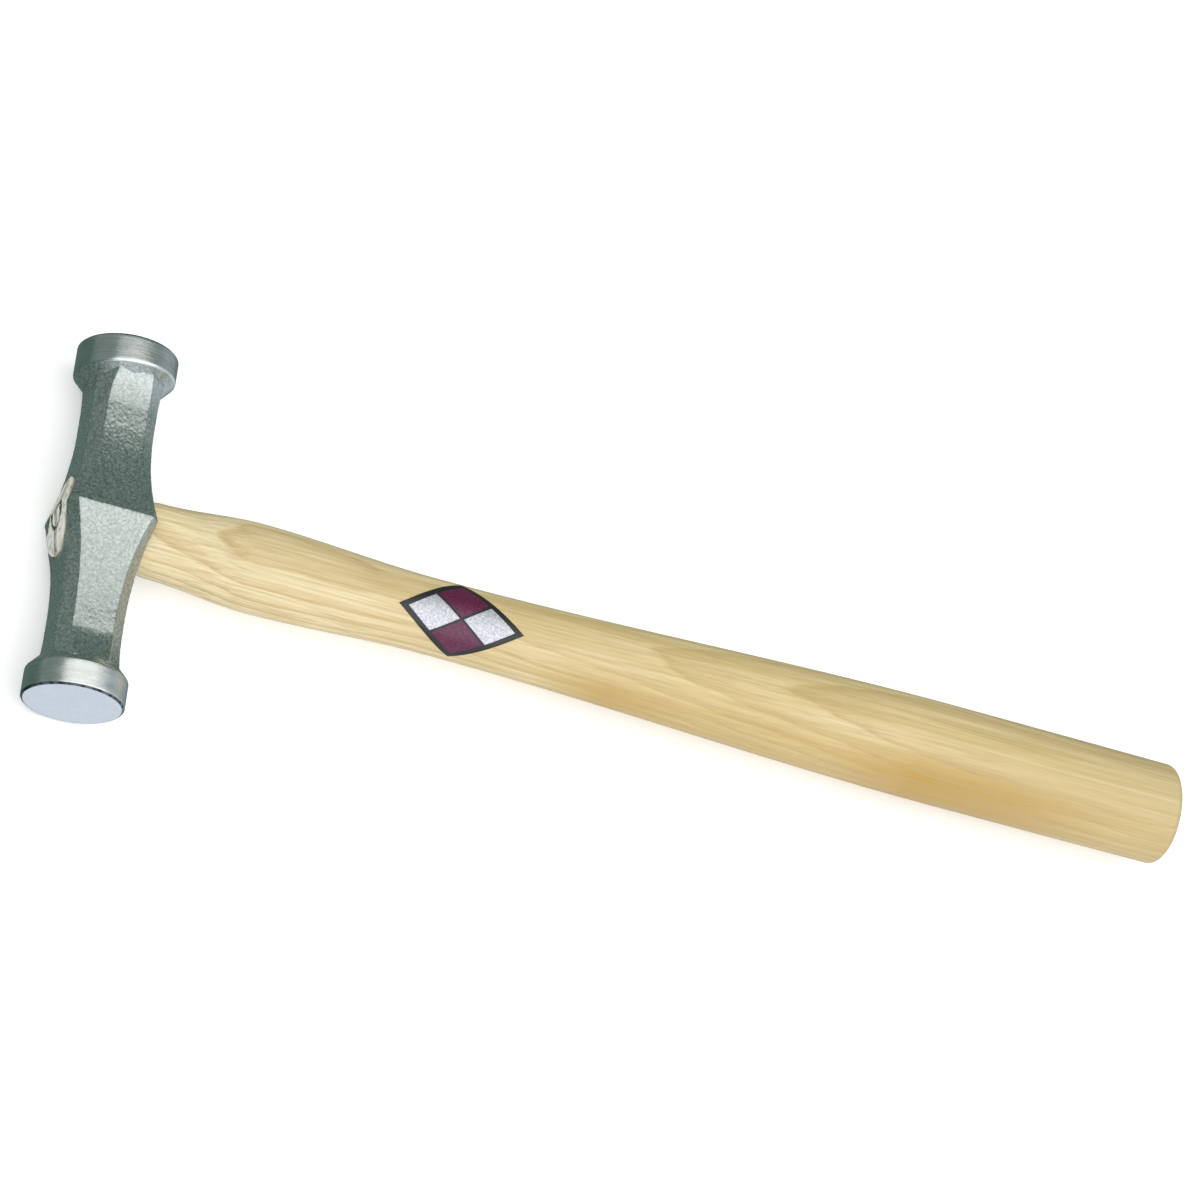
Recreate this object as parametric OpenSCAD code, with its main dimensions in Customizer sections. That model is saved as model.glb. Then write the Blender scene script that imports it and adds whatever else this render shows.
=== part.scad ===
// Double-faced planishing hammer, lying on its side on a flat surface.
// The origin is on that surface, under the middle of the hammer's box.
// +X runs along the handle from head to butt, +Y along the head to its domed face, and +Z is up.

/* [Hammer] */
// Length from the crest of the head's front to the end of the handle
overall_l = 331; // [250:1:400]

/* [Head] */
// Length of the head over its two faces
head_l = 101.2; // [84:0.2:124]
// Diameter of the two striking faces
face_d = 27; // [24:0.5:32]
// Width of the ground band round each face
band_w = 7.4; // [4:0.1:10]
// Height of the cone behind each band
shoulder_h = 3.8; // [2:0.1:4.5]
// Length of the cone behind each band
shoulder_l = 4.4; // [2:0.1:6]
// Width of the small bevel that breaks the edge of each face
edge_bevel = 0.5; // [0.3:0.1:1]
// Radius of the crown on the domed face
dome_r = 95; // [60:1:200]
// Width over the crests at the eye, along the handle
crest_w = 24.4; // [23:0.1:30]
// Thickness over the crests beside the eye, across the handle
crest_t = 25.6; // [22.5:0.1:32]
// Leg of the corner facets at the crests
crest_chamfer = 2; // [1:0.1:3.5]
// Distance of the crests from the middle of the eye, towards the domed face
crest_y = 1; // [-2:0.1:2]
// Width of the two necks, along the handle
neck_w = 17.8; // [14:0.1:22.5]
// Thickness of the two necks, across the handle
neck_t = 17.6; // [14:0.1:22.5]
// Leg of the corner facets at the necks
neck_chamfer = 3.4; // [2.5:0.1:4.5]
// How much wider than its neck the flare ends, along the handle
flare_rise_w = 0.4; // [0.2:0.1:4]
// How much thicker than its neck the flare ends, across the handle
flare_rise_t = 5.4; // [1:0.1:6]
// Leg of the corner facets where the flare ends
flare_chamfer = 4.4; // [3:0.1:5.5]
// Straight length of each neck
neck_l = 5; // [2:0.5:8]
// Length of the flare from each neck into its cone
flare_l = 9; // [6:0.5:12]

/* [Eye] */
// Width of the eye at its front mouth, where the wedges go in
eye_front_w = 15; // [13:0.1:17]
// Width of the eye at its back mouth, where the handle comes out
eye_back_w = 12.8; // [12.6:0.1:16]
// Width of the eye in its middle
eye_mid_w = 12.4; // [10:0.1:12.5]
// How much longer than wide the eye is, all the way through
eye_stretch = 7.6; // [5:0.1:9.5]
// How far the wood and the ring stand out of the front mouth
tenon_proud = 0.3; // [0.1:0.1:1.5]

/* [Handle] */
// How far the handle stands out round the eye's back mouth
root_lip = 0.1; // [0.1:0.1:1.5]
// Depth of the swell next to the head
swell_d = 25.2; // [20:0.1:32]
// Thickness of the swell next to the head
swell_t = 17.6; // [14:0.1:24]
// Distance from the head's axis to the swell
swell_x = 43; // [34:1:54]
// Depth of the handle's waist
waist_d = 21; // [17:0.1:27]
// Thickness of the handle's waist
waist_t = 18; // [14:0.1:24]
// Distance from the head's axis to the waist
waist_x = 92; // [75:1:112]
// Depth of the grip at the butt
butt_d = 29.2; // [24:0.1:36]
// Thickness of the grip at the butt
butt_t = 25.4; // [20:0.1:32]
// Length of the tapered grip, from where it is full size to the butt
grip_l = 70; // [40:1:110]
// Length over which the butt's edge is rounded
butt_round = 3; // [2:0.5:8]

/* [Wedges] */
// Depth of the saw kerf in the tenon
kerf_depth = 19; // [14:0.5:20]
// Thickness of the wooden wedge at its outer end
wedge_t = 2.6; // [1.6:0.1:3.4]
// Thickness of the wooden wedge at its tip
wedge_tip_t = 0.8; // [0.4:0.1:1.2]
// Outside diameter of the steel ring wedge
ring_d = 8.4; // [6:0.1:10]
// Wall of the ring wedge at its outer end
ring_wall = 1.2; // [0.8:0.1:1.8]
// Depth of the ring wedge
ring_depth = 9; // [6:0.5:12]

/* [Label] */
// Distance from the head's axis to the middle of the label
label_x = 99; // [80:1:130]
// Length of the label's lozenge, along the handle
label_l = 36; // [26:1:44]
// Height of the label's lozenge, tip to tip, round the handle
label_h = 23.6; // [16:0.2:28]
// Thickness of the label
label_t = 0.2; // [0.1:0.05:0.4]
// How far the label's middle is turned round the handle, from the top towards the flat face, in degrees
label_turn = 13; // [-20:1:30]

/* [Hidden] */
$fn = 96;

// Sides and rings of the handle's loft
loft_sides = 44;
loft_rings = 56;
butt_rings = 7;
// Share of the butt's end that is flat, and how much squarer than an ellipse its edge is rounded
butt_flat = 0.5;
butt_power = 2.6;
// Steps along each arc of the head's facets
waist_steps = 24;
flare_steps = 12;
// Sides of the wedge that cuts the label out, and the height that its two points are blunted to
cut_sides = 4;
label_tip = 0.2;

face_r = face_d / 2;
// The dome stands this far out of its rim, and both rims are as far from the crests
crown_h = dome_r - sqrt(pow(dome_r, 2) - pow(face_r - edge_bevel, 2));
rim_y = (head_l - crown_h) / 2;
head_x = -overall_l / 2 + crest_w / 2;
// The head's axis is as high as the larger of its face radius and its crest
axis_z = max(face_r, crest_t / 2);
butt_x = overall_l - crest_w / 2;
grip_x = butt_x - grip_l;

// The shoulder cone starts at the back of the band, and the flare ends on it
band_back_y = rim_y - band_w;
cone_y = band_back_y - shoulder_l;
cone_r = face_r - shoulder_h;
// The flare ends half way along the cone
flare_end_y = band_back_y - shoulder_l / 2;
// The octagonal body ends inside the bands
band_mid_y = rim_y - band_w / 2;
neck_out_y = flare_end_y - flare_l;
neck_in_y = neck_out_y - neck_l;

crest_diag = (crest_w + crest_t - 2 * crest_chamfer) / 2 / sqrt(2);
neck_diag = (neck_w + neck_t - 2 * neck_chamfer) / 2 / sqrt(2);
flare_w = neck_w + flare_rise_w;
flare_t = neck_t + flare_rise_t;
flare_diag = (flare_w + flare_t - 2 * flare_chamfer) / 2 / sqrt(2);

eye_front_l = eye_front_w + eye_stretch;
root_t = eye_back_w + 2 * root_lip;
root_d = root_t + eye_stretch;
root_x = crest_w / 2;
front_x = -crest_w / 2 - tenon_proud;

// Radius of the arc that leaves a straight line and rises by this much over this run
function arc_r(run, rise) = (run * run + rise * rise) / (2 * rise);

// Smooth step from 0 to 1 between two places
function ease(x, x0, x1) = let (t = min(1, max(0, (x - x0) / (x1 - x0)))) t * t * (3 - 2 * t);

// Value that goes smoothly through a root, a swell, a waist and a grip
function along(x, root, swell, waist, butt) =
    x < swell_x ? root + (swell - root) * ease(x, root_x, swell_x)
    : x < waist_x ? swell + (waist - swell) * ease(x, swell_x, waist_x)
    : waist + (butt - waist) * ease(x, waist_x, grip_x);

function rounding(x) =
    let (t = min(1, max(0, (x - butt_x + butt_round) / butt_round)))
    butt_flat + (1 - butt_flat) * pow(1 - pow(t, butt_power), 1 / butt_power);

function half_depth(x) = along(x, root_d, swell_d, waist_d, butt_d) / 2 * rounding(x);
function half_thick(x) = along(x, root_t, swell_t, waist_t, butt_t) / 2 * rounding(x);

// Point on the handle, this far from the head's axis and this far round, or a little above it
function on_handle(x, turn, above) =
    [x, (half_depth(x) + above) * cos(turn), (half_thick(x) + above) * sin(turn)];

function handle_section(x, above = 0) = [for (i = [0 : loft_sides - 1]) on_handle(x, 360 * i / loft_sides, above)];

ring_step = (butt_x - butt_round - root_x) / loft_rings;
handle_places = concat(
    [for (i = [0 : loft_rings]) root_x + i * ring_step],
    [for (i = [1 : butt_rings]) butt_x - butt_round * (1 - sin(90 * i / butt_rings))]
);

// Closed solid through a list of rings, each with the same number of points
module skin(rings) {
    n = len(rings[0]);
    last = (len(rings) - 1) * n;
    walls = [
        for (r = [0 : len(rings) - 2], i = [0 : n - 1])
            let (j = (i + 1) % n, a = r * n, b = a + n)
            each [[a + i, b + j, b + i], [a + i, a + j, b + j]]
    ];
    start = [for (i = [0 : n - 1]) i];
    finish = [for (i = [n - 1 : -1 : 0]) last + i];
    polyhedron([for (ring = rings) each ring], concat([start, finish], walls), convexity = 4);
}

// The pieces are drawn round the head's crests and axis, then moved to their place
module placed() {
    translate([head_x, -crown_h / 2, axis_z]) children();
}

// Distance of a facet from the head's axis: an arc from the crest to the neck, then an arc out to the flare's end
function facet(y, crest, neck, end) =
    let (
        a = abs(y),
        side = y < crest_y ? -1 : 1,
        waist_r = arc_r(neck_in_y - side * crest_y, crest - neck),
        flare_r = arc_r(flare_l, end - neck)
    )
    a < neck_in_y ? neck + waist_r - sqrt(pow(waist_r, 2) - pow(neck_in_y - side * y, 2))
    : a < neck_out_y ? neck
    : a < flare_end_y ? neck + flare_r - sqrt(pow(flare_r, 2) - pow(a - neck_out_y, 2))
    : end;

function side_facet(y) = facet(y, crest_w / 2, neck_w / 2, flare_w / 2);
function top_facet(y) = facet(y, crest_t / 2, neck_t / 2, flare_t / 2);
function corner_facet(y) = facet(y, crest_diag, neck_diag, flare_diag);

// Eight corners of the body's section, where the corner facets meet the others
function octagon(y) =
    let (w = side_facet(y), t = top_facet(y), d = corner_facet(y) * sqrt(2), u = d - t, v = d - w)
    [[w, y, -v], [w, y, v], [u, y, t], [-u, y, t], [-w, y, v], [-w, y, -v], [-u, y, -t], [u, y, -t]];

waist_places = concat(
    [for (i = [0 : waist_steps]) -neck_in_y + (neck_in_y + crest_y) * i / waist_steps],
    [for (i = [1 : waist_steps]) crest_y + (neck_in_y - crest_y) * i / waist_steps]
);
flare_places = concat([for (i = [0 : flare_steps]) neck_out_y + flare_l * i / flare_steps], [band_mid_y]);
body_places = concat([for (i = [flare_steps + 1 : -1 : 0]) -flare_places[i]], waist_places, flare_places);

// Turned stock of one end: cone, band, bevel, and a face that may be crowned
module turned_end(crowned) {
    rotate([-90, 0, 0]) rotate_extrude() {
        polygon([
            [0, cone_y], [cone_r, cone_y], [face_r, band_back_y],
            [face_r, rim_y - edge_bevel], [face_r - edge_bevel, rim_y], [0, rim_y]
        ]);
        if (crowned) intersection() {
            translate([0, rim_y + crown_h - dome_r]) circle(dome_r);
            translate([0, band_mid_y]) square([face_r - edge_bevel, band_w]);
        }
    }
}

// The eye is an oval that widens from its middle to both mouths; the wood that fills it uses the same form
module eye_form(reach) {
    mouth_x = crest_w / 2;
    mid_w = eye_mid_w / 2;
    front_w = mid_w + (eye_front_w / 2 - mid_w) * reach / mouth_x;
    back_w = mid_w + (eye_back_w / 2 - mid_w) * reach / mouth_x;
    for (end = [-1, 1]) translate([0, end * eye_stretch / 2, 0]) {
        rotate([0, -90, 0]) cylinder(reach, mid_w, front_w);
        rotate([0, 90, 0]) cylinder(reach, mid_w, back_w);
    }
    rotate([90, 0, 0]) translate([0, 0, -eye_stretch / 2])
        linear_extrude(eye_stretch) polygon([
            [-reach, -front_w], [0, -mid_w], [reach, -back_w],
            [reach, back_w], [0, mid_w], [-reach, front_w]
        ]);
}

// What lies behind the front of the head, with the wood standing a little out of it
module behind_front(to_x) {
    front = [for (y = body_places) if (abs(y) < eye_front_l) [-side_facet(y) - tenon_proud, y]];
    translate([0, 0, -eye_front_w]) linear_extrude(2 * eye_front_w)
        polygon(concat(front, [[to_x, eye_front_l], [to_x, -eye_front_l]]));
}

// Steel ring, driven in so that its thin edge leads
module ring_form() {
    tip_wall = ring_wall / 3;
    rotate([0, 90, 0]) translate([0, 0, front_x]) rotate_extrude() polygon([
        [ring_d / 2 - ring_wall, 0], [ring_d / 2, 0],
        [ring_d / 2 - tip_wall, ring_depth], [ring_d / 2 - 2 * tip_wall, ring_depth]
    ]);
}

// Wooden wedge, longer along the head than the eye is
module wedge_form() {
    tip_x = front_x + kerf_depth;
    translate([0, eye_front_l, 0]) rotate([90, 0, 0]) linear_extrude(2 * eye_front_l) polygon([
        [front_x, -wedge_t / 2], [tip_x, -wedge_tip_t / 2], [tip_x, wedge_tip_t / 2], [front_x, wedge_t / 2]
    ]);
}

module head() {
    color([0.45, 0.52, 0.47]) placed() difference() {
        union() {
            skin([for (y = body_places) octagon(y)]);
            turned_end(true);
            mirror([0, 1, 0]) turned_end(false);
        }
        eye_form(crest_w);
    }
}

module handle() {
    color([0.88, 0.80, 0.60]) placed() difference() {
        union() {
            intersection() {
                eye_form(crest_w);
                behind_front(root_x);
            }
            skin([for (x = handle_places) handle_section(x)]);
        }
        wedge_form();
        ring_form();
    }
}

module wooden_wedge() {
    color([0.75, 0.62, 0.42]) placed() difference() {
        intersection() {
            eye_form(crest_w);
            behind_front(root_x);
            wedge_form();
        }
        ring_form();
    }
}

module ring_wedge() {
    color([0.6, 0.6, 0.62]) placed() intersection() {
        ring_form();
        behind_front(root_x);
    }
}

// Section of the wedge that cuts the label out of a thin skin on the handle: from the axis to twice as far out
function cut_section(x, height) =
    let (span = height * 360 / PI / (half_depth(x) + half_thick(x)))
    concat(
        [[x, 0, 0]],
        [
            for (i = [0 : cut_sides])
                let (p = on_handle(x, 90 + label_turn + span * (i / cut_sides - 1 / 2), 0))
                [x, 2 * p.y, 2 * p.z]
        ]
    );

// Foil lozenge that wraps over the top of the handle
module label() {
    near = [for (x = handle_places) if (abs(x - label_x) < label_l / 2 + ring_step) x];
    color([0.45, 0.12, 0.28]) placed() difference() {
        intersection() {
            skin([for (x = near) handle_section(x, label_t)]);
            skin([
                cut_section(label_x - label_l / 2, label_tip),
                cut_section(label_x, label_h),
                cut_section(label_x + label_l / 2, label_tip)
            ]);
        }
        skin([for (x = near) handle_section(x)]);
    }
}

head();
handle();
wooden_wedge();
ring_wedge();
label();
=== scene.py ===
"""Looks for the double-faced planishing hammer: a waisted octagonal head wedged on an oval ash handle.

Every size is in millimetres, measured from the point where the head's axis crosses the handle's.
"""

import math

import bpy
import numpy as np
from mathutils import Matrix, Vector, noise


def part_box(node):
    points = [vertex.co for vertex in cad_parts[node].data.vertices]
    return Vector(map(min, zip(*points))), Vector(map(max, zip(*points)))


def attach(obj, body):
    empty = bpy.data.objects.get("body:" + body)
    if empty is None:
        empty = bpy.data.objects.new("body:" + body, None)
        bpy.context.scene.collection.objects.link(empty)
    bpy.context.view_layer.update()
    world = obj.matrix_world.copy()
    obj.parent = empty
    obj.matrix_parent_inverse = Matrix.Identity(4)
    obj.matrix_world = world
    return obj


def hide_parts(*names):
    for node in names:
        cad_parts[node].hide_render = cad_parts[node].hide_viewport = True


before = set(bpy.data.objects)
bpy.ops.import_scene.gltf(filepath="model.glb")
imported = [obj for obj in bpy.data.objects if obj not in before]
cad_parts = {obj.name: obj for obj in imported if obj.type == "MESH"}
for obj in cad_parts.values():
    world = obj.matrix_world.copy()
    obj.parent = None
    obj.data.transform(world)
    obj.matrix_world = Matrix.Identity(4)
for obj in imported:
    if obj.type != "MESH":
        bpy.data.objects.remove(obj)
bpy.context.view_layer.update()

MM = 0.001

# Places of the materials in each piece's list
PAINT, BAND, FACE, EYE, BEVEL = range(5)
ASH, END_GRAIN = range(2)
BLACK, SILVER, MAROON = range(3)

head_low, head_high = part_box("head")
handle_low, handle_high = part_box("handle")
crossing = Vector(
    (
        (head_low.x + head_high.x) / 2,
        (handle_low.y + handle_high.y) / 2,
        (head_low.z + head_high.z) / 2,
    )
)

# Head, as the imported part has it. A crest is the body's widest ring, and a flare is its end by a cone.
face_r = (head_high.x - head_low.x) / 2 / MM
rim_y = (crossing.y - head_low.y) / MM
dome_y = (head_high.y - crossing.y) / MM
band_w, shoulder_h, shoulder_l, edge_bevel = 7.4, 3.8, 4.4, 0.5
crest_w, crest_t, crest_chamfer, crest_y = 24.4, 25.6, 2.0, 1.0
neck_w, neck_t, neck_chamfer, neck_l = 17.8, 17.6, 3.4, 5.0
flare_w, flare_t, flare_chamfer, flare_l = 18.2, 23.0, 4.4, 9.0
band_back_y = rim_y - band_w
flare_end_y = band_back_y - shoulder_l / 2
neck_out_y = flare_end_y - flare_l
neck_in_y = neck_out_y - neck_l

# Head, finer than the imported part: fuller below the eye, and one band longer on its front side
fullness, fullness_y, fullness_l = 0.55, -7.0, 5.0
band_extra = 1.0
crest_softness, edge_power = 0.3, 110
relief_fade_y, fade_power = 26, 1.5

# Eye
eye_front_w, eye_back_w, eye_mid_w, eye_stretch = 15.0, 12.8, 12.4, 7.6
tenon_proud = 0.3
mouth_sink, mouth_sink_w, mouth_edge, mouth_side_x = 0.22, 0.9, 0.3, 8
eye_slack, tenon_slack, root_fill, cut_slack = 0.15, 0.05, 0.15, 0.06
cutter_reach = 2.0

# Handle
butt_x = (handle_high.x - crossing.x) / MM
root_x = crest_w / 2
root_lip = 0.1
root_t = eye_back_w + 2 * root_lip
root_d = root_t + eye_stretch
swell_d, swell_t, swell_x = 25.2, 17.6, 43.0
waist_d, waist_t, waist_x = 21.0, 18.0, 92.0
butt_d, butt_t, grip_l, butt_round = 29.2, 25.4, 70.0, 3.0
grip_x = butt_x - grip_l
butt_flat, butt_power = 0.5, 2.6
root_blend_l = 16.0

# Wedges
kerf_depth, wedge_t, wedge_tip_t = 19.0, 2.6, 0.8
ring_d, ring_wall, ring_depth = 8.4, 1.2, 9.0

# Label
label_x, label_l, label_h, label_t, label_turn = 99.0, 36.0, 23.6, 0.2, 13.0
label_border, label_line = 0.15, 0.035
label_edge_drop, label_sunk = 0.08, 0.03


# ---------------------------------------------------------------- mesh helpers


def in_frame(points):
    """Points in millimetres round the crossing, as points in metres in the row frame."""
    return np.asarray(points, float) * MM + np.array(crossing)


def new_piece(name, points, faces, kinds, materials):
    """A mesh piece with a material index for each face."""
    mesh = bpy.data.meshes.new(name)
    mesh.from_pydata(in_frame(points).tolist(), [], faces)
    for material in materials:
        mesh.materials.append(material)
    mesh.polygons.foreach_set("material_index", np.asarray(kinds, np.int32))
    mesh.update()
    piece = bpy.data.objects.new(name, mesh)
    bpy.context.scene.collection.objects.link(piece)
    return piece


def smooth(piece, sharp_above):
    """Smooth shading, with a sharp edge wherever two faces turn by more than this many degrees."""
    piece.data.shade_smooth()
    piece.data.set_sharp_from_angle(angle=math.radians(sharp_above))


def tube(rings, kinds):
    """Closed skin over rings of points, with a fan at both ends. kinds has a value for each gap."""
    rings = np.asarray(rings, float)
    count, sides = rings.shape[:2]
    points = np.concatenate([rings.reshape(-1, 3), [rings[0].mean(0)], [rings[-1].mean(0)]])
    first, last = count * sides, count * sides + 1
    faces, marks = [], []
    for i in range(sides):
        faces.append((first, (i + 1) % sides, i))
        marks.append(kinds[0])
    for r in range(count - 1):
        a, b = r * sides, (r + 1) * sides
        for i in range(sides):
            j = (i + 1) % sides
            faces.append((a + i, a + j, b + j, b + i))
            marks.append(kinds[r])
    top = (count - 1) * sides
    for i in range(sides):
        faces.append((last, top + i, top + (i + 1) % sides))
        marks.append(kinds[-1])
    return points, faces, marks


def cut_away(piece, cutter):
    """Takes the cutter's closed form out of the piece, and removes the cutter."""
    modifier = piece.modifiers.new("cut", "BOOLEAN")
    modifier.operation = "DIFFERENCE"
    modifier.solver = "MANIFOLD"
    modifier.object = cutter
    graph = bpy.context.evaluated_depsgraph_get()
    cut = bpy.data.meshes.new_from_object(piece.evaluated_get(graph))
    piece.modifiers.clear()
    piece.data = cut
    bpy.data.objects.remove(cutter)


def rounded(corners, cuts):
    """A path through corners, with each inner one rounded off from this far before it to as far after it."""
    steps = 4
    corners = [np.array(c, float) for c in corners]
    path = [corners[0]]
    for before, here, after, cut in zip(corners, corners[1:], corners[2:], cuts):
        start = here + (before - here) / np.linalg.norm(before - here) * cut
        end = here + (after - here) / np.linalg.norm(after - here) * cut
        for i in range(steps + 1):
            t = i / steps
            path.append((1 - t) ** 2 * start + 2 * t * (1 - t) * here + t * t * end)
    path.append(corners[-1])
    return path


def ease(x, x0, x1):
    """A smooth step from 0 at x0 to 1 at x1."""
    t = np.clip((x - x0) / (x1 - x0), 0, 1)
    return t * t * (3 - 2 * t)


# ---------------------------------------------------------------- node helpers


class Nodes:
    """A material's node tree, with short ways to add and join nodes."""

    def __init__(self, name):
        self.material = bpy.data.materials.new(name)
        self.material.use_nodes = True
        self.tree = self.material.node_tree
        self.tree.nodes.clear()
        self.shader = self.tree.nodes.new("ShaderNodeBsdfPrincipled")
        output = self.tree.nodes.new("ShaderNodeOutputMaterial")
        self.tree.links.new(self.shader.outputs["BSDF"], output.inputs["Surface"])

    def add(self, kind, inputs=(), **settings):
        node = self.tree.nodes.new("ShaderNode" + kind)
        for key, value in settings.items():
            setattr(node, key, value)
        for key, value in dict(inputs).items():
            self.put(value, node.inputs[key])
        return node

    def put(self, value, socket):
        """Joins another node's output to a socket, or sets the socket's own value."""
        if isinstance(value, bpy.types.NodeSocket):
            self.tree.links.new(value, socket)
        else:
            socket.default_value = value

    def set(self, **inputs):
        """Sets or joins sockets of the shader, named with _ for a space."""
        for key, value in inputs.items():
            self.put(value, self.shader.inputs[key.replace("_", " ")])

    def place(self, scale=(1, 1, 1), offset=(0, 0, 0)):
        """The object's own coordinates in millimetres from the crossing, then scaled and moved."""
        where = self.add("TexCoord").outputs["Object"]
        per_metre = tuple(s / MM for s in scale)
        start = self.add("VectorMath", {0: where, 1: tuple(crossing)}, operation="SUBTRACT").outputs[0]
        sized = self.add("VectorMath", {0: start, 1: per_metre}, operation="MULTIPLY").outputs[0]
        return self.add("VectorMath", {0: sized, 1: offset}, operation="ADD").outputs[0]

    def noise(self, vector, scale, detail=3.0, roughness=0.5):
        inputs = {"Vector": vector, "Scale": scale, "Detail": detail, "Roughness": roughness}
        return self.add("TexNoise", inputs).outputs["Fac"]

    def ramp(self, fac, *stops):
        """A colour ramp with (place, grey or colour) stops."""
        node = self.add("ValToRGB", {"Fac": fac})
        elements = node.color_ramp.elements
        while len(elements) < len(stops):
            elements.new(0.5)
        for element, (where, value) in zip(elements, stops):
            element.position = where
            element.color = (value,) * 3 + (1,) if isinstance(value, (int, float)) else (*value, 1)
        return node.outputs["Color"]

    def mix(self, fac, a, b, blend="MIX"):
        node = self.add("Mix", data_type="RGBA", blend_type=blend)
        for value, socket in ((fac, node.inputs[0]), (a, node.inputs[6]), (b, node.inputs[7])):
            if isinstance(value, tuple) and len(value) == 3:
                value = (*value, 1)
            self.put(value, socket)
        return node.outputs[2]

    def math(self, operation, a, b=0.0, c=0.0):
        return self.add("Math", {0: a, 1: b, 2: c}, operation=operation).outputs[0]

    def bump(self, height, distance, strength=1.0):
        """Relief of this many millimetres."""
        inputs = {"Height": height, "Distance": distance * MM, "Strength": strength}
        return self.add("Bump", inputs).outputs["Normal"]


# ---------------------------------------------------------------- materials


def hammertone():
    """Grey-green metallic enamel that dries in small dimples with darker rims."""
    n = Nodes("hammertone_enamel")
    at = n.place()
    wander = n.noise(at, 0.12, 2.0)
    spots = {"Vector": at, "Scale": 1.05, "Randomness": 1.0}
    cells = n.add("TexVoronoi", spots, feature="F1").outputs[0]
    fine = n.noise(at, 1.7, 3.0, 0.6)
    flake = n.noise(at, 6.0, 2.0, 0.6)
    dimple = n.ramp(cells, (0.05, 0.0), (0.6, 1.0))
    dark = n.mix(wander, (0.014, 0.062, 0.034), (0.014, 0.060, 0.050))
    light = n.mix(flake, (0.205, 0.262, 0.238), (0.365, 0.395, 0.382))
    fleck = n.ramp(fine, (0.34, 0.25), (0.54, 1.0))
    share = n.math("MULTIPLY", fleck, n.ramp(cells, (0.25, 1.0), (0.75, 0.55)))
    n.set(Base_Color=n.mix(share, dark, light), Metallic=0.6)
    n.set(Roughness=n.math("MULTIPLY_ADD", fine, 0.18, 0.17))
    relief = n.math("MULTIPLY_ADD", fine, 0.7, dimple)
    n.set(Normal=n.bump(relief, 0.055, 0.7))
    n.set(Coat_Weight=1.0, Coat_Roughness=0.22, Coat_IOR=2.6)
    return n.material


def ground_steel():
    """Bright steel, turned and belt-ground, with lines that run round the head's axis."""
    n = Nodes("ground_steel")
    lines = n.noise(n.place((0.04, 5.0, 0.04)), 1.0, 4.0, 0.65)
    broad = n.noise(n.place((0.05, 1.1, 0.05)), 1.0, 2.0)
    stain = n.noise(n.place(), 0.3, 3.0)
    tone = n.mix(n.ramp(lines, (0.3, 0.0), (0.7, 1.0)), (0.55, 0.57, 0.57), (0.76, 0.77, 0.77))
    n.set(Base_Color=n.mix(n.ramp(stain, (0.35, 0.0), (0.75, 0.35)), tone, (0.33, 0.38, 0.36)))
    n.set(Metallic=1.0, Roughness=n.math("MULTIPLY_ADD", broad, 0.16, 0.17))
    n.set(Normal=n.bump(lines, 0.02, 0.6), Anisotropic=0.35)
    return n.material


def polished_steel():
    """Fine-ground striking face with faint straight scratches."""
    n = Nodes("polished_steel")
    scratches = n.noise(n.place((0.3, 1.0, 9.0)), 1.0, 3.0, 0.6)
    cloud = n.noise(n.place(), 0.25, 3.0)
    n.set(Base_Color=n.mix(cloud, (0.70, 0.76, 0.83), (0.80, 0.82, 0.86)))
    n.set(Metallic=0.9, Roughness=n.math("MULTIPLY_ADD", scratches, 0.12, 0.22))
    n.set(Normal=n.bump(scratches, 0.008, 0.5))
    return n.material


def shaded_bevel_steel():
    """The small bevel round each face, coloured near-black as painted shade for the dark line round each
    face, with lighter patches.
    """
    n = Nodes("shaded_bevel_steel")
    wear = n.noise(n.place(), 0.5, 3.0)
    worn = n.ramp(wear, (0.4, 0.0), (0.6, 1.0))
    # Painted shade: the near-black and dark grey tones stand in for the dark that the bevel shows, not for
    # the steel's own colour
    n.set(Base_Color=n.mix(worn, (0.03, 0.04, 0.045), (0.17, 0.19, 0.20)))
    n.set(Metallic=0.9, Roughness=0.35, Normal=n.bump(wear, 0.02))
    return n.material


def eye_steel():
    """Dark forged steel inside the eye."""
    n = Nodes("eye_steel")
    scale = n.noise(n.place(), 1.2, 4.0)
    n.set(Base_Color=n.mix(scale, (0.05, 0.055, 0.05), (0.13, 0.13, 0.12)))
    n.set(Metallic=0.6, Roughness=0.6, Normal=n.bump(scale, 0.08))
    return n.material


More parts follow.
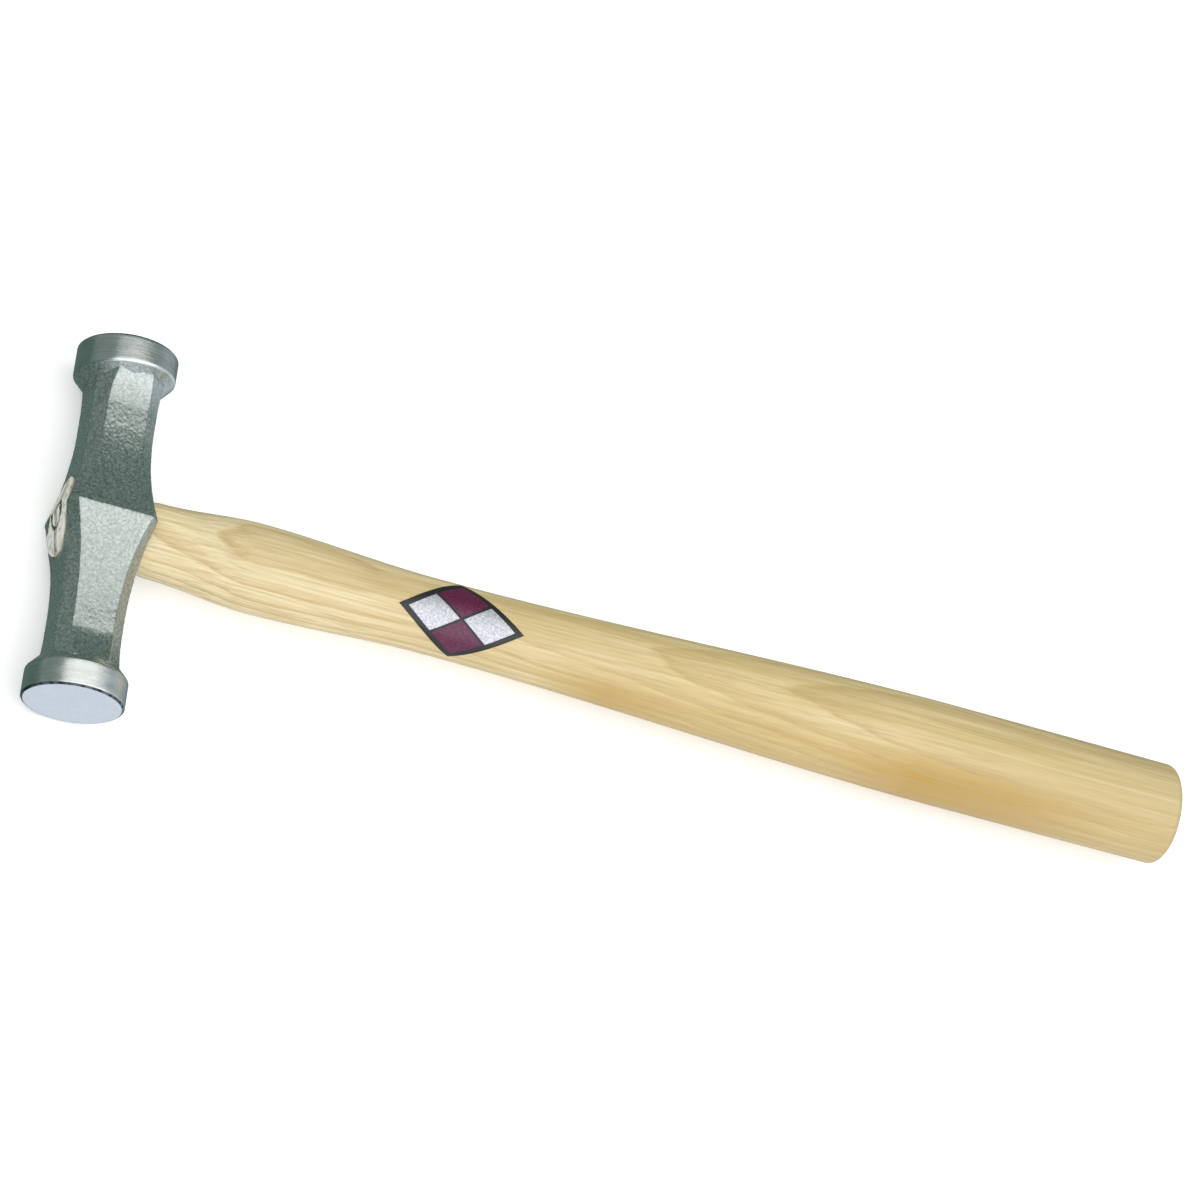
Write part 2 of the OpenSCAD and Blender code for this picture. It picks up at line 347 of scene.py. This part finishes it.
def ash():
    """Pale ash: growth rings round a distant pith, with pores and fibres along the handle."""
    n = Nodes("ash")
    at = n.place()
    bend = n.noise(n.place((0.009, 0.015, 0.015), (3.1, 0.4, 0.0)), 1.0, 2.0)
    ripple = n.noise(n.place((0.05, 0.25, 0.25)), 1.0, 2.0)
    split = n.add("SeparateXYZ", {0: at})
    x, y, z = (split.outputs[k] for k in range(3))
    # Distance from a pith that lies below the handle and runs out of line with it
    down = n.math("ADD", z, n.math("MULTIPLY_ADD", x, 0.012, 42.0))
    across = n.math("ADD", y, n.math("MULTIPLY_ADD", x, -0.02, 9.0))
    squares = n.math("ADD", n.math("MULTIPLY", down, down), n.math("MULTIPLY", across, across))
    radius = n.math("MULTIPLY_ADD", bend, 6.0, n.math("SQRT", squares))
    radius = n.math("MULTIPLY_ADD", ripple, 1.2, radius)
    ring_pitch = 2.3
    ring = n.math("FRACT", n.math("DIVIDE", radius, ring_pitch))
    early = n.ramp(ring, (0.0, 0.0), (0.1, 1.0), (0.3, 0.5), (0.7, 0.05), (1.0, 0.0))
    fibre = n.noise(n.place((0.025, 1.3, 1.3)), 1.0, 4.0, 0.65)
    streak = n.noise(n.place((0.012, 0.42, 0.42)), 1.0, 3.0, 0.55)
    pores = n.noise(n.place((0.09, 4.5, 4.5)), 1.0, 3.0, 0.6)
    near_ring = n.math("MULTIPLY_ADD", early, 0.8, 0.2)
    pore_lines = n.math("MULTIPLY", n.ramp(pores, (0.52, 0.0), (0.66, 1.0)), near_ring)
    pale = n.mix(n.ramp(streak, (0.35, 0.0), (0.65, 1.0)), (0.72, 0.59, 0.33), (0.62, 0.475, 0.215))
    # The wood is paler next to the head
    clean = n.add("MapRange", {0: x, 1: 30.0, 2: 130.0, 3: 0.55, 4: 0.0}).outputs[0]
    pale = n.mix(clean, pale, (0.84, 0.74, 0.50))
    # Two patches of ochre heartwood on the flat face's side: past the label, and where the grip begins
    side = n.add("MapRange", {0: y, 1: -3.5, 2: -11.0}, interpolation_type="SMOOTHSTEP").outputs[0]
    place = n.add("MapRange", {0: x, 1: 100.0, 2: butt_x}).outputs[0]
    stops = ((0.1, 0.0), (0.2, 0.9), (0.33, 0.4), (0.5, 0.4), (0.62, 1.0), (0.76, 0.9), (0.92, 0.25))
    patch = n.math("MULTIPLY", n.ramp(place, *stops), n.ramp(bend, (0.2, 0.75), (0.7, 1.0)))
    wood = n.mix(n.math("MULTIPLY", side, patch), pale, (0.47, 0.28, 0.045))
    ringed = n.mix(n.math("MULTIPLY", early, 0.6), wood, (0.50, 0.34, 0.13))
    streaked = n.mix(n.ramp(fibre, (0.3, 0.7), (0.57, 0.0)), ringed, (0.47, 0.34, 0.15))
    # Handling makes it a little greyer near the butt
    soil_from, soil_to = 230.0, 319.0
    soil = n.add("MapRange", {0: x, 1: soil_from, 2: soil_to, 3: 0.0, 4: 0.22}).outputs[0]
    soiled = n.mix(soil, streaked, (0.42, 0.33, 0.16))
    rim = n.add("MapRange", {0: x, 1: butt_x - butt_round, 2: butt_x - 0.6, 3: 0.0, 4: 0.45}).outputs[0]
    soiled = n.mix(rim, soiled, (0.30, 0.26, 0.18))
    n.set(Base_Color=n.mix(n.math("MULTIPLY", pore_lines, 0.5), soiled, (0.38, 0.25, 0.10)))
    n.set(Roughness=n.math("MULTIPLY_ADD", fibre, 0.15, 0.35), Coat_Weight=0.2, Coat_Roughness=0.25)
    relief = n.math("SUBTRACT", n.math("MULTIPLY", fibre, 0.4), pore_lines)
    n.set(Normal=n.bump(relief, 0.03, 0.5), Specular_IOR_Level=0.4)
    return n.material


def end_grain():
    """Ash cut across: rings with rows of open pores, a little soiled."""
    n = Nodes("ash_end_grain")
    at = n.place()
    rings = n.add("TexWave", {"Vector": n.place((0.0, 0.05, 0.30)), "Scale": 1.0, "Distortion": 3.0})
    pores = n.add("TexVoronoi", {"Vector": at, "Scale": 2.2}, feature="F1").outputs[0]
    soil = n.noise(at, 0.5, 4.0, 0.6)
    wood = n.mix(rings.outputs["Fac"], (0.78, 0.77, 0.71), (0.62, 0.59, 0.51))
    pored = n.mix(n.ramp(pores, (0.1, 0.8), (0.3, 0.0)), wood, (0.20, 0.17, 0.13))
    n.set(Base_Color=n.mix(n.ramp(soil, (0.5, 0.0), (0.68, 0.75)), pored, (0.16, 0.16, 0.14)))
    n.set(Roughness=0.6, Normal=n.bump(pores, 0.06, 0.6))
    return n.material


def wedge_wood():
    """Darker hardwood, with its fibres along the handle's axis."""
    n = Nodes("wedge_wood")
    fibre = n.noise(n.place((0.2, 3.0, 3.0)), 1.0, 4.0)
    n.set(Base_Color=n.mix(fibre, (0.36, 0.26, 0.15), (0.62, 0.50, 0.33)))
    n.set(Roughness=0.6, Normal=n.bump(fibre, 0.05))
    return n.material


def ring_steel():
    """Dark steel tube, worn bright in places."""
    n = Nodes("ring_steel")
    wear = n.noise(n.place(), 1.5, 4.0)
    worn = n.ramp(wear, (0.4, 0.0), (0.6, 1.0))
    n.set(Base_Color=n.mix(worn, (0.03, 0.03, 0.03), (0.35, 0.34, 0.33)))
    n.set(Metallic=0.9, Roughness=n.math("MULTIPLY_ADD", wear, 0.3, 0.3))
    n.set(Normal=n.bump(wear, 0.03))
    return n.material


def foil(name, dark, light, metallic, roughness):
    """Printed foil: one ink with slight mottling and fine wrinkles."""
    n = Nodes(name)
    mottle = n.noise(n.place(), 1.8, 3.0)
    n.set(Base_Color=n.mix(n.ramp(mottle, (0.35, 0.0), (0.65, 1.0)), dark, light))
    n.set(Metallic=metallic, Roughness=roughness)
    n.set(Normal=n.bump(n.noise(n.place(), 0.8, 2.0), 0.02, 0.5), Coat_Weight=0.15, Coat_Roughness=0.2)
    return n.material


def floor_white():
    """Plain near-white that gives off a little light of its own."""
    n = Nodes("floor_white")
    n.set(Base_Color=(0.88, 0.88, 0.88, 1), Roughness=0.9)
    n.set(Emission_Color=(1.0, 1.0, 1.0, 1), Emission_Strength=0.3)
    return n.material


# ---------------------------------------------------------------- head


def arc_radius(run, rise):
    """Radius of the arc that leaves a straight line and rises by this much over this run."""
    return (run * run + rise * rise) / (2 * rise)


def facet(y, crest, neck, end):
    """Distance of a facet from the head's axis: an arc from crest to neck, then an arc out to the flare."""
    side = np.where(y < crest_y, -1.0, 1.0)
    waist_r = arc_radius(neck_in_y - side * crest_y, crest - neck)
    flare_r = arc_radius(flare_l, end - neck)
    away = np.abs(y)
    waist = neck + waist_r - np.sqrt(np.maximum(waist_r**2 - (neck_in_y - side * y) ** 2, 0))
    flare = neck + flare_r - np.sqrt(np.maximum(flare_r**2 - (away - neck_out_y) ** 2, 0))
    near, middle, far = away < neck_in_y, away < neck_out_y, away < flare_end_y
    return np.select([near, middle, far], [waist, neck + 0 * y, flare], end)


def soft_facet(y, crest, neck, end):
    """The facet with its crest rounded over, as a weighted mean of the facet at places round y."""
    reach, samples = 2.2, 9
    offsets = np.linspace(-reach, reach, samples)
    weights = np.exp(-(offsets**2) / 2)
    total = sum(w * facet(y + o * crest_softness, crest, neck, end) for w, o in zip(weights, offsets))
    return total / weights.sum()


def diagonal(width, thickness, chamfer):
    """Distance of a corner facet from the axis of an octagon of this width, thickness and corner leg."""
    return (width + thickness - 2 * chamfer) / 2 / math.sqrt(2)


crest_diag = diagonal(crest_w, crest_t, crest_chamfer)
neck_diag = diagonal(neck_w, neck_t, neck_chamfer)
flare_diag = diagonal(flare_w, flare_t, flare_chamfer)


def side_facet(y):
    """Distance from the head's axis of the facets that the eye runs through."""
    return soft_facet(y, crest_w / 2, neck_w / 2, flare_w / 2)


def front_fullness(y):
    """The forging is a little fuller below the eye's front mouth."""
    return fullness * np.exp(-(((y - fullness_y) / fullness_l) ** 2))


def body_radius(y, turn):
    """Distance from the axis to the octagonal body, whose edges are slightly rounded."""
    side = side_facet(y)
    top = soft_facet(y, crest_t / 2, neck_t / 2, flare_t / 2)
    corner = soft_facet(y, crest_diag, neck_diag, flare_diag)
    front = side + front_fullness(y)
    # A radius close to the body's own keeps the powers in range
    near_r = 10
    total = 0
    for k, distance in enumerate((side, corner, top, corner, front, corner, top, corner)):
        lean = np.maximum(np.cos(turn - k * math.pi / 4), 0)
        total = total + (near_r * lean / distance) ** edge_power
    return near_r * total ** (-1 / edge_power)


def band_shift(turn, end):
    """The domed end's band is ground a little longer on its front side."""
    return band_extra * np.cos(turn) if end > 0 else 0 * turn


def cone_radius(y, turn, end):
    """Distance from the head's axis to the cone behind a band."""
    back = band_back_y + band_shift(turn, end)
    return face_r - (back - y) * shoulder_h / shoulder_l


def body_end(turn, end):
    """Where the octagonal body runs into the cone, found by halving."""
    search_back, search_on, halvings = 8, 1, 40
    low = np.full_like(turn, band_back_y - search_back)
    high = np.full_like(turn, band_back_y + search_on)
    for _ in range(halvings):
        middle = (low + high) / 2
        inside = body_radius(end * middle, turn) > cone_radius(middle, turn, end)
        low = np.where(inside, middle, low)
        high = np.where(inside, high, middle)
    return low


def ring_at(y, radius, turn):
    """Ring of points round the head's axis."""
    return np.stack([radius * np.cos(turn), y + 0 * turn, radius * np.sin(turn)], -1)


def round_end(turn, end, edge):
    """Rings from the end of the body over the painted cone, the band and the bevel to the face's middle."""
    shift = band_shift(turn, end)
    cone_rings, face_rings, ring_step = 12, 22, 0.6
    cone_gap, face_step, bevel_spread = 0.4, 1, 0.3
    cone_stop = band_back_y - cone_gap
    rings = []
    for i in range(1, cone_rings + 1):
        y = edge + (cone_stop + shift - edge) * i / cone_rings
        rings.append((y, cone_radius(y, turn, end)))
    corners = [
        (cone_stop, face_r - cone_gap * shoulder_h / shoulder_l),
        (band_back_y, face_r),
        (rim_y - edge_bevel, face_r),
        (rim_y, face_r - edge_bevel),
        (rim_y, face_r - edge_bevel - face_step),
    ]
    cuts = (0.3, 0.18, 0.18)
    path = rounded(corners, cuts)[1:]
    dense = []
    for before, here in zip(path, path[1:]):
        parts = max(1, int(np.linalg.norm(here - before) / ring_step))
        dense += [before + (here - before) * i / parts for i in range(parts)]
    dense.append(path[-1])
    shift_stays_to, shift_ends = band_back_y + 1, band_back_y + band_w * 0.7
    for y, radius in dense:
        share = 1 - ease(y, shift_stays_to, shift_ends)
        rings.append((y + shift * share, radius + 0 * turn))
    last_r = dense[-1][1]
    crown = dome_y - rim_y if end > 0 else 0.0
    dome_r = (last_r**2 + crown**2) / (2 * crown) if crown else 0
    for i in range(1, face_rings):
        radius = last_r * (1 - i / face_rings)
        rise = math.sqrt(dome_r**2 - radius**2) - math.sqrt(dome_r**2 - last_r**2) if crown else 0
        rings.append((rim_y + rise + 0 * turn, radius + 0 * turn))
    faces_from = cone_rings + len(dense) - 1
    kinds = [PAINT] * cone_rings + [BAND] * (faces_from - cone_rings) + [FACE] * (len(rings) - faces_from)
    # Rings of the bevel, and a little of the face next to it, take the bevel's material with its painted
    # shade
    for i in range(cone_rings, faces_from):
        y, radius = rings[i]
        if np.mean(y) > rim_y - edge_bevel and np.mean(radius) > face_r - edge_bevel - bevel_spread:
            kinds[i] = BEVEL
    return [ring_at(end * y, r, turn) for y, r in rings], kinds


def relief(point):
    """Height of the enamel at a point, in millimetres: low pads with grooves between, over broad waves."""
    pads_per_mm, pad_height, groove_w = 0.8, 0.05, 0.45
    wave_height, wave_scale = 0.03, 0.35
    place = Vector(point) * pads_per_mm
    near, _ = noise.voronoi(place)
    pad = min(near[1] - near[0], groove_w) / groove_w - 0.5
    return pad_height * pad + wave_height * noise.noise(place * wave_scale)


def mouth_distance(y, z, width):
    """Signed distance in the plane across the handle from the outline of an eye's mouth."""
    along = np.maximum(np.abs(y) - eye_stretch / 2, 0)
    return np.hypot(along, z) - width / 2


def head_body(turn, edges):
    """Rings of the octagonal body, from the flat face's end to the domed face's."""
    flat_edge, dome_edge = edges
    middle = float((flat_edge.mean() + dome_edge.mean()) / 2)
    flat_rings, dome_rings = 118, 114
    to_crest, from_crest = np.linspace(-middle, crest_y, flat_rings), np.linspace(crest_y, middle, dome_rings)
    places = np.concatenate([to_crest, from_crest[1:]])
    rings = []
    for place in places:
        edge = dome_edge if place > 0 else flat_edge
        bend = max(0, (abs(place) - relief_fade_y) / (middle - relief_fade_y)) ** fade_power
        y = place + math.copysign(1, place) * (edge - middle) * bend
        radius = body_radius(y, turn)
        ring = ring_at(y, radius, turn)
        fade = 1 - bend
        for i, point in enumerate(ring):
            out = np.array((math.cos(turn[i]), 0, math.sin(turn[i])))
            ring[i] = point + out * relief(point) * fade
        for sign, width in ((-1, eye_front_w), (1, eye_back_w)):
            gap = np.abs(mouth_distance(ring[:, 1], ring[:, 2], width + mouth_edge))
            sink = mouth_sink * np.clip(1 - gap / mouth_sink_w, 0, 1) ** 2
            on_this_side = ring[:, 0] * sign > mouth_side_x
            ring[:, 0] -= np.where(on_this_side, sign * sink, 0)
        rings.append(ring)
    return rings


def eye_ring(x, turn, slack):
    """Ring of the eye, which is wider at both mouths, drawn in by some slack. x may differ round the ring."""
    mouth = np.where(x < 0, eye_front_w, eye_back_w)
    half = eye_mid_w / 2 + (mouth - eye_mid_w) / 2 * np.abs(x) / (crest_w / 2) - slack
    straight = np.where(np.cos(turn) >= 0, 1, -1) * eye_stretch / 2
    return np.stack([x + 0 * turn, straight + half * np.cos(turn), half * np.sin(turn)], -1)


def eye_cutter(materials):
    """The eye's form along the handle, a little larger."""
    sides, reach = 96, 18.0
    turn = np.arange(sides) * 2 * math.pi / sides
    rings = [eye_ring(np.full(sides, x), turn, -eye_slack) for x in (-reach, 0.0, reach)]
    points, faces, marks = tube(rings, [EYE, EYE])
    return new_piece("eye_cutter", points, faces, marks, materials)


def build_head(materials):
    """The forging. Its materials are paint, ground band, polished face, inside of the eye and bevel."""
    sides = 288
    turn = np.arange(sides) * 2 * math.pi / sides
    edges = [body_end(turn, -1), body_end(turn, 1)]
    flat_rings, flat_kinds = round_end(turn, -1, edges[0])
    dome_rings, dome_kinds = round_end(turn, 1, edges[1])
    body = head_body(turn, edges)
    rings = flat_rings[::-1] + body + dome_rings
    kinds = flat_kinds[::-1] + [PAINT] * (len(body) - 1) + dome_kinds
    # Rings go round the other way, so that the faces look outwards
    points, faces, marks = tube([r[::-1] for r in rings], kinds)
    head = new_piece("head_forging", points, faces, marks, materials)
    cut_away(head, eye_cutter(materials))
    smooth(head, 30)
    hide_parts("head")
    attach(head, "root")


# ---------------------------------------------------------------- handle


def along(x, root, swell, waist, butt):
    """Value that goes smoothly through a root, a swell, a waist and a grip."""
    first = root + (swell - root) * ease(x, root_x, swell_x)
    second = swell + (waist - swell) * ease(x, swell_x, waist_x)
    third = waist + (butt - waist) * ease(x, waist_x, grip_x)
    return np.select([x < swell_x, x < waist_x], [first, second], third)


def rounding(x):
    """Share of its full size that the grip has at x: 1, then less over the rounded edge of the butt."""
    t = np.clip((x - butt_x + butt_round) / butt_round, 0, 1)
    return butt_flat + (1 - butt_flat) * (1 - t**butt_power) ** (1 / butt_power)


def half_depth(x):
    return along(x, root_d, swell_d, waist_d, butt_d) / 2 * rounding(x)


def half_thick(x):
    return along(x, root_t, swell_t, waist_t, butt_t) / 2 * rounding(x)


def on_handle(x, turn, above=0.0):
    """Points on the handle's oval skin, or this far above it."""
    y = (half_depth(x) + above) * np.cos(turn)
    z = (half_thick(x) + above) * np.sin(turn)
    return np.stack([x + 0 * turn, y, z], -1)


def tenon_front(y):
    """Place of the tenon's end, which stands a little proud of the head's front side."""
    return -(side_facet(y) + front_fullness(y)) - tenon_proud


def build_handle(materials):
    """The handle, from the tenon's end grain to the butt. Its materials are ash and end grain."""
    sides = 128
    end_rings, tenon_rings, handle_rings = 26, 18, 150
    grip_rings, edge_rings, butt_rings = 36, 12, 14
    end_grain_share = 0.02
    turn = (np.arange(sides) + 0.5) * 2 * math.pi / sides
    rings, kinds = [], []
    outline = eye_ring(np.full(sides, -crest_w / 2), turn, tenon_slack)
    for share in np.linspace(0.04, 0.985, end_rings):
        ring = outline * share
        ring[:, 0] = tenon_front(ring[:, 1])
        rings.append(ring)
        kinds.append(END_GRAIN)
    edge = tenon_front(outline[:, 1])
    for share in np.linspace(0.012, 1, tenon_rings):
        x = edge + (root_x - edge) * share
        rings.append(eye_ring(x, turn, tenon_slack))
        kinds.append(END_GRAIN if share < end_grain_share else ASH)
    to_grip = np.linspace(root_x, grip_x, handle_rings)[1:]
    along_grip = np.linspace(grip_x, butt_x - butt_round, grip_rings)[1:]
    for x in np.concatenate([to_grip, along_grip]):
        blend = 1 - ease(x, root_x, root_x + root_blend_l)
        oval = on_handle(np.float64(x), turn)
        full = eye_ring(np.full(sides, root_x), turn, -root_fill)
        full[:, 0] = x
        scale = np.array([1, half_depth(x) / (root_d / 2), half_thick(x) / (root_t / 2)])
        rings.append(oval * (1 - blend) + full * scale * blend)
        kinds.append(ASH)
    for i in range(1, edge_rings + 1):
        x = butt_x - butt_round * (1 - math.sin(math.pi / 2 * i / edge_rings))
        rings.append(on_handle(np.float64(x), turn))
        kinds.append(ASH)
    final = rings[-1].copy()
    for share in np.linspace(0.92, 0.05, butt_rings):
        rings.append(final * np.array([1, share, share]))
        kinds.append(ASH)
    points, faces, marks = tube(rings, kinds[1:])
    handle = new_piece("handle_ash", points, faces, marks, materials)
    cut_away(handle, wedge_cutter(materials, cut_slack))
    cut_away(handle, ring_cutter(materials, cut_slack))
    smooth(handle, 35)
    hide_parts("handle")
    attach(handle, "root")


def wedge_cutter(materials, slack):
    """The wooden wedge's form, a little larger."""
    front, tip = -crest_w / 2 - cutter_reach, -crest_w / 2 - tenon_proud + kerf_depth + slack
    reach = 16.0
    outer, inner = wedge_t / 2 + slack, wedge_tip_t / 2 + slack
    corners = [(front, -outer), (front, outer), (tip, inner), (tip, -inner)]
    rings = [[(x, y, z) for x, z in corners] for y in (-reach, reach)]
    points, faces, marks = tube([r[::-1] for r in rings], [END_GRAIN])
    return new_piece("wedge_cutter", points, faces, marks, materials)


def ring_cutter(materials, slack):
    """The ring wedge's form, a little larger: a closed band round the handle's axis."""
    sides = 64
    turn = np.arange(sides) * 2 * math.pi / sides
    front, tip = -crest_w / 2 - cutter_reach, -crest_w / 2 - tenon_proud + ring_depth + slack
    outer = ring_d / 2 + slack
    inner = ring_d / 2 - ring_wall - slack
    middle = ring_d / 2 - ring_wall / 2
    tip_half = 0.3
    path = [(front, inner), (front, outer), (tip, middle + tip_half), (tip, middle - tip_half)]
    points, faces = [], []
    for x, radius in path:
        points += [(x, radius * math.cos(a), radius * math.sin(a)) for a in turn]
    for k in range(4):
        a, b = k * sides, (k + 1) % 4 * sides
        for i in range(sides):
            j = (i + 1) % sides
            faces.append((a + i, a + j, b + j, b + i))
    return new_piece("ring_cutter", points, faces, [END_GRAIN] * len(faces), materials)


# ---------------------------------------------------------------- label


def build_label(materials):
    """Foil lozenge, quartered: silver left and right, maroon above and below, with a black border."""
    marks = [-1, -1 + label_border, -label_line, label_line, 1 - label_border, 1]
    steps = [3, 12, 2, 12, 3]
    spans = [np.linspace(a, b, k + 1)[:-1] for a, b, k in zip(marks, marks[1:], steps)]
    lines = np.concatenate(spans + [[1.0]])
    count = len(lines)

    def place(a, b, above):
        """Point of the lozenge, where a and b run from -1 to 1 along its two pairs of sides."""
        x = np.float64(label_x + (a + b) / 4 * label_l)
        across = (a - b) / 4 * label_h
        turn = math.radians(90 + label_turn) - across * 2 / (half_depth(x) + half_thick(x))
        return on_handle(x, np.float64(turn), above)

    points, faces, kinds = [], [], []
    for above in (label_t, -label_sunk):
        for a in lines:
            for b in lines:
                edge = above > 0 and (abs(a) == 1 or abs(b) == 1)
                points.append(place(a, b, above - label_edge_drop * edge))
    base = count * count

    def kind(value):
        """0 on a border or line, and otherwise the side that a value is on."""
        black = abs(value) > 1 - label_border or abs(value) < label_line
        return 0 if black else (1 if value > 0 else -1)

    for i in range(count - 1):
        for j in range(count - 1):
            p = i * count + j
            quad = (p, p + 1, p + count + 1, p + count)
            a, b = kind((lines[i] + lines[i + 1]) / 2), kind((lines[j] + lines[j + 1]) / 2)
            faces += [quad, tuple(base + k for k in reversed(quad))]
            ink = BLACK if a * b == 0 else (SILVER if a == b else MAROON)
            kinds += [ink, BLACK]
    rim = list(range(count - 1))
    rim += [k * count + count - 1 for k in range(count - 1)]
    rim += [(count - 1) * count + k for k in range(count - 1, 0, -1)]
    rim += [k * count for k in range(count - 1, 0, -1)]
    for here, after in zip(rim, rim[1:] + rim[:1]):
        faces.append((after, here, base + here, base + after))
        kinds.append(BLACK)
    label = new_piece("label_foil", points, faces, kinds, materials)
    smooth(label, 30)
    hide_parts("label")
    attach(label, "root")


# ---------------------------------------------------------------- pieces

build_head([hammertone(), ground_steel(), polished_steel(), eye_steel(), shaded_bevel_steel()])
build_handle([ash(), end_grain()])
build_label(
    [
        foil("label_black", (0.006, 0.007, 0.006), (0.015, 0.015, 0.014), 0.0, 0.5),
        foil("label_silver", (0.38, 0.39, 0.43), (0.62, 0.62, 0.67), 0.45, 0.4),
        foil("label_maroon", (0.06, 0.006, 0.028), (0.15, 0.015, 0.065), 0.1, 0.4),
    ]
)
for node, material in (("wooden_wedge", wedge_wood()), ("ring_wedge", ring_steel())):
    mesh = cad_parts[node].data
    mesh.materials.clear()
    mesh.materials.append(material)

# ---------------------------------------------------------------- stage, light and camera

scene = bpy.context.scene
scene.view_settings.view_transform = "Standard"


def build_floor():
    """A pale floor, in metres, that reflections leave out."""
    half = 4.0
    mesh = bpy.data.meshes.new("floor")
    corners = [(-half, -half, 0), (half, -half, 0), (half, half, 0), (-half, half, 0)]
    mesh.from_pydata(corners, [], [(0, 1, 2, 3)])
    mesh.materials.append(floor_white())
    floor = bpy.data.objects.new("floor", mesh)
    scene.collection.objects.link(floor)
    floor.visible_glossy = False


def build_world():
    """A room that is darker behind the head and lighter in front of the flat face."""
    bright_side = (0.6, -0.75, 0.0)
    dark_tone, bright_tone = (0.12, 0.185, 0.165, 1), (0.80, 0.85, 0.91, 1)
    world = bpy.data.worlds.new("studio")
    world.use_nodes = True
    tree = world.node_tree
    where = tree.nodes.new("ShaderNodeTexCoord")
    slope = tree.nodes.new("ShaderNodeVectorMath")
    slope.operation = "DOT_PRODUCT"
    slope.inputs[1].default_value = bright_side
    ramp = tree.nodes.new("ShaderNodeMapRange")
    ramp.interpolation_type = "SMOOTHSTEP"
    ramp.inputs["From Min"].default_value = 0.0
    ramp.inputs["From Max"].default_value = 0.5
    tone = tree.nodes.new("ShaderNodeMix")
    tone.data_type = "RGBA"
    tone.inputs[6].default_value = dark_tone
    tone.inputs[7].default_value = bright_tone
    tree.links.new(where.outputs["Generated"], slope.inputs[0])
    tree.links.new(slope.outputs["Value"], ramp.inputs["Value"])
    tree.links.new(ramp.outputs["Result"], tone.inputs[0])
    tree.links.new(tone.outputs[2], tree.nodes["Background"].inputs["Color"])
    scene.world = world


def softbox(name, place, target, width, height, power):
    """A slightly warm rectangular light, in metres and watts, that points at its target."""
    data = bpy.data.lights.new(name, "AREA")
    data.shape = "RECTANGLE"
    data.size = width
    data.size_y = height
    data.energy = power
    data.color = (1.0, 0.955, 0.94)
    box = bpy.data.objects.new(name, data)
    scene.collection.objects.link(box)
    box.location = place
    box.rotation_euler = (Vector(target) - Vector(place)).to_track_quat("-Z", "Y").to_euler()
    return box


def build_camera():
    """Camera that looks down on the hammer from the side of its head."""
    azimuth, elevation, roll = math.radians(-39.85), math.radians(58.47), math.radians(50.87)
    distance, target = 1281.3, np.array((141.02, 17.99, 0.0))
    back = np.array(
        (
            math.sin(azimuth) * math.cos(elevation),
            -math.cos(azimuth) * math.cos(elevation),
            math.sin(elevation),
        )
    )
    level = np.array((math.cos(azimuth), math.sin(azimuth), 0.0))
    above = np.cross(back, level)
    right = level * math.cos(roll) + above * math.sin(roll)
    up = above * math.cos(roll) - level * math.sin(roll)
    data = bpy.data.cameras.new("camera")
    data.lens, data.sensor_width = 141.46, 36.0
    data.clip_end = 20
    camera = bpy.data.objects.new("camera", data)
    scene.collection.objects.link(camera)
    turn = Matrix([right, up, back]).transposed().to_4x4()
    camera.matrix_world = Matrix.Translation(in_frame(target + back * distance)) @ turn
    scene.camera = camera


build_floor()
build_world()
softbox("overhead", (0.2, -0.55, 1.6), (0.2, -0.55, 0), 3.6, 2.7, 44)
fill = softbox("fill", (-0.7, 1.7, 1.4), (0, 0, 0), 1.6, 1.6, 9)
fill.visible_glossy = False
softbox("side", (-1.5, 0.7, 0.7), (0, 0, 0), 2.2, 2.2, 1.8)
build_camera()
